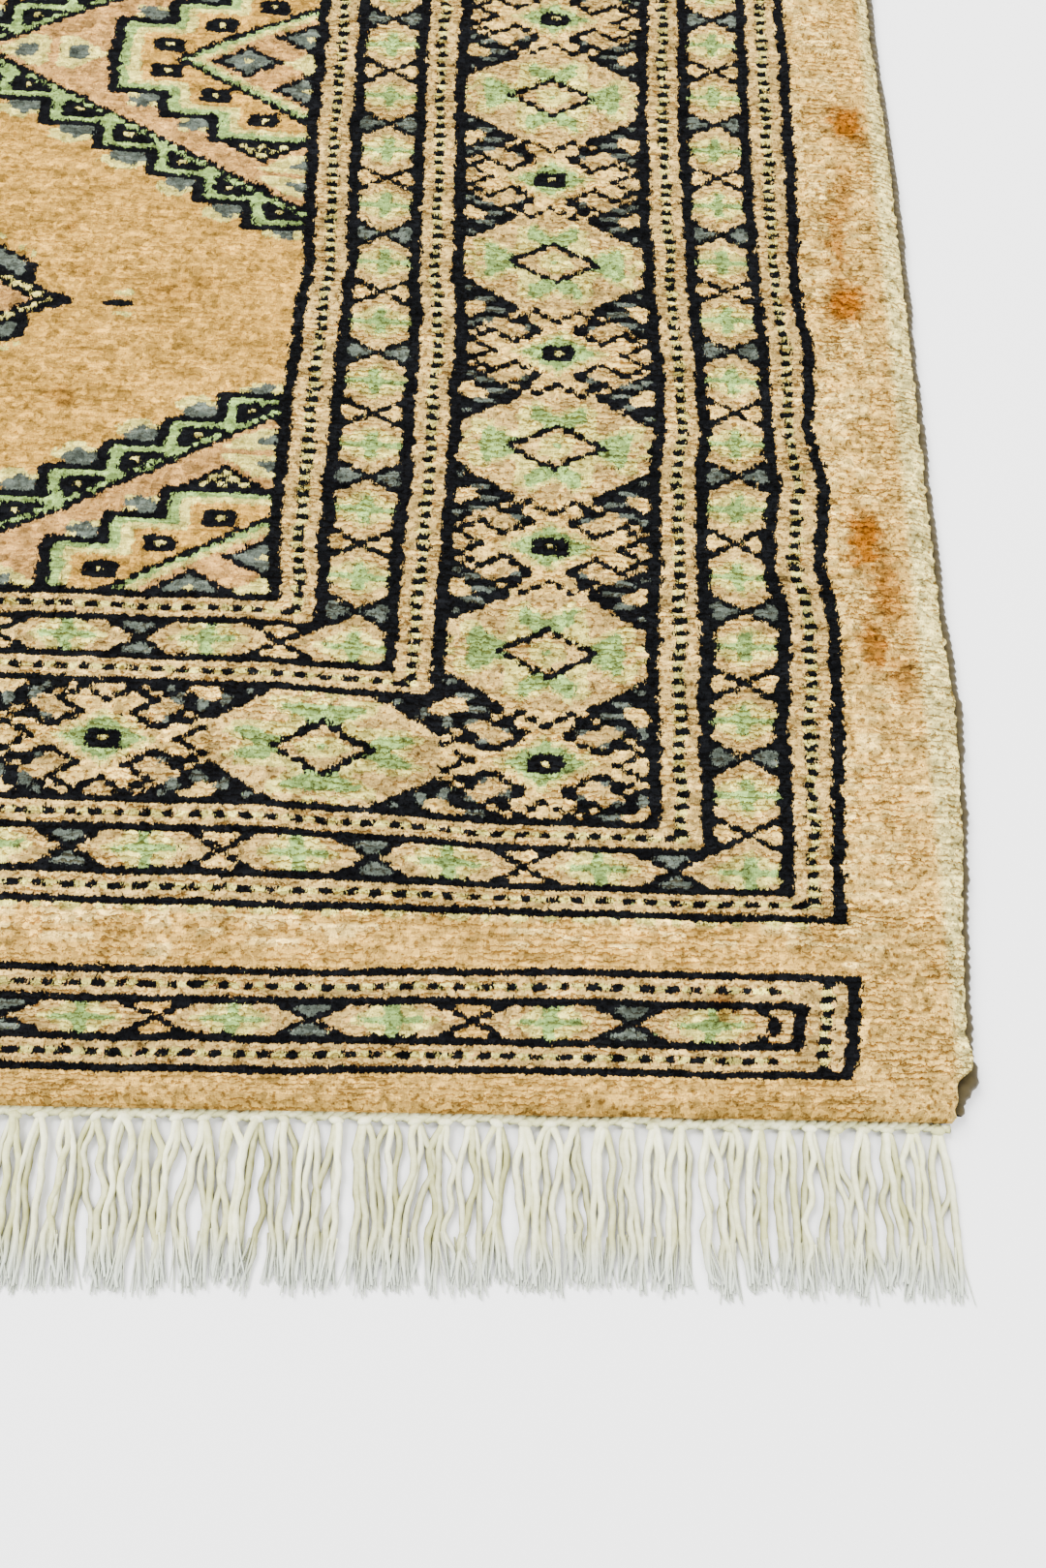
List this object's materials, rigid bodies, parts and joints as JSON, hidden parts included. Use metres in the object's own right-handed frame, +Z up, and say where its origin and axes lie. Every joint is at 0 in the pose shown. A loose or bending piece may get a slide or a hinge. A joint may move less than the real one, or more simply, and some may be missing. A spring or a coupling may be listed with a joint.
{
  "type": "oriental rug",
  "caption": "Flat hand-knotted wool pile rug with overcast side cords and cotton warp fringe at both ends.",
  "frame": {"origin": "middle of the underside, on the surface the rug lies on", "axes": "+Y along the length towards the far fringe, +X across the width, +Z up out of the pile"},
  "size_m": [0.7102, 1.321, 0.0085],
  "materials": {
    "wool_pile": "knotted wool pile, camel ground, cut and leaning towards the near end",
    "wool_cord": "overcast wool yarn, matt",
    "cotton_warp": "undyed plied cotton, matt"
  },
  "bodies": {
    "root": {"carpet": "wool_pile", "side_cord_right": "wool_cord", "side_cord_left": "wool_cord", "fringe_near": "cotton_warp", "fringe_far": "cotton_warp"}
  },
  "joints": []
}
